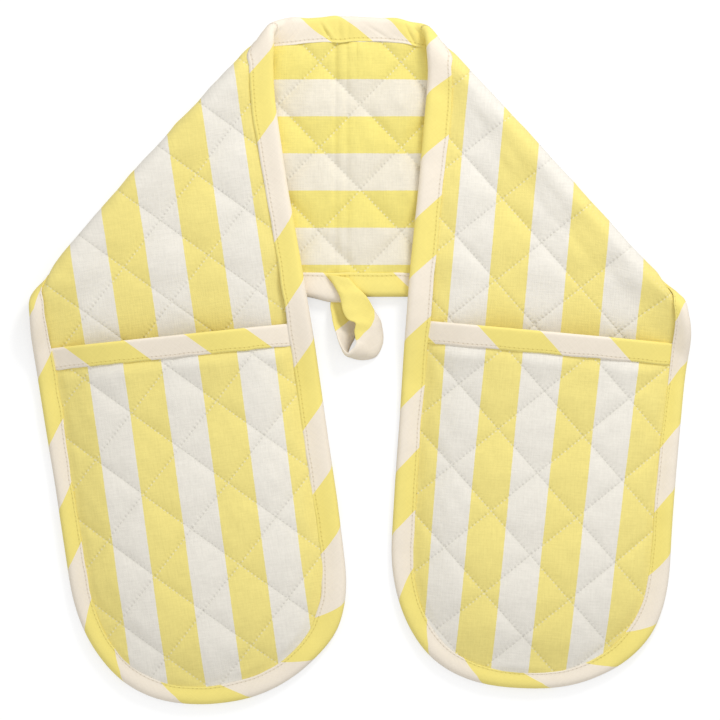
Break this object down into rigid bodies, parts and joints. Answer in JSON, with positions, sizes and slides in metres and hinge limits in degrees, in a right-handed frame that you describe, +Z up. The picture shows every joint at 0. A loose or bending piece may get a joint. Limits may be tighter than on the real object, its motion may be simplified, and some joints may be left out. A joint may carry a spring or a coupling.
{
  "type": "double oven glove",
  "caption": "Quilted double oven glove packed flat: a striped strap folded over at both sides so two arms with hand pockets lie on top, bound edges and a hanging loop.",
  "frame": {"origin": "centre of the packed glove on the table it lies on", "axes": "+Z up from the table, +Y from the rounded hand ends towards the strap, +X towards the right arm as seen in the picture"},
  "size_m": [0.4127, 0.4318, 0.0253],
  "materials": {
    "striped_cloth": "matte woven cotton, yellow and off-white stripes",
    "wadding": "soft fibre wadding",
    "binding": "matte bias tape, diagonal yellow and cream bands",
    "loop_tape": "matte folded bias tape"
  },
  "bodies": {
    "strap": {"strap_front_cloth": "striped_cloth", "strap_wadding": "wadding", "strap_back_cloth": "striped_cloth", "strap_top_binding": "binding", "strap_low_binding": "binding", "left_fold_front_cloth": "striped_cloth", "left_fold_wadding": "wadding", "left_fold_back_cloth": "striped_cloth", "left_fold_inner_binding": "binding", "left_fold_outer_binding": "binding", "right_fold_front_cloth": "striped_cloth", "right_fold_wadding": "wadding", "right_fold_back_cloth": "striped_cloth", "right_fold_inner_binding": "binding", "right_fold_outer_binding": "binding"},
    "left_arm": {"left_arm_front_cloth": "striped_cloth", "left_arm_wadding": "wadding", "left_arm_back_cloth": "striped_cloth", "left_arm_binding": "binding", "left_pocket_outer_cloth": "striped_cloth", "left_pocket_wadding": "wadding", "left_pocket_lining": "striped_cloth", "left_mouth_binding": "binding"},
    "right_arm": {"right_arm_front_cloth": "striped_cloth", "right_arm_wadding": "wadding", "right_arm_back_cloth": "striped_cloth", "right_arm_binding": "binding", "right_pocket_outer_cloth": "striped_cloth", "right_pocket_wadding": "wadding", "right_pocket_lining": "striped_cloth", "right_mouth_binding": "binding"},
    "loop": {"hanging_loop": "loop_tape"}
  },
  "joints": [
    {"name": "left_fold", "type": "hinge", "parent": "strap", "child": "left_arm", "pos_m": [-0.1328, 0.1282, 0.00745], "axis": [-0.6547, -0.7559, 0], "range_deg": [0, 172], "deforming": ["left_fold_front_cloth", "left_fold_wadding", "left_fold_back_cloth", "left_fold_inner_binding", "left_fold_outer_binding"]},
    {"name": "right_fold", "type": "hinge", "parent": "strap", "child": "right_arm", "pos_m": [0.128, 0.1282, 0.00745], "axis": [-0.6762, 0.7367, 0], "range_deg": [0, 171], "deforming": ["right_fold_front_cloth", "right_fold_wadding", "right_fold_back_cloth", "right_fold_inner_binding", "right_fold_outer_binding"]},
    {"name": "loop_swing", "type": "hinge", "parent": "strap", "child": "loop", "pos_m": [-0.002, 0.0388, 0.0035], "axis": [-1, 0, 0], "range_deg": [0, 105]}
  ]
}
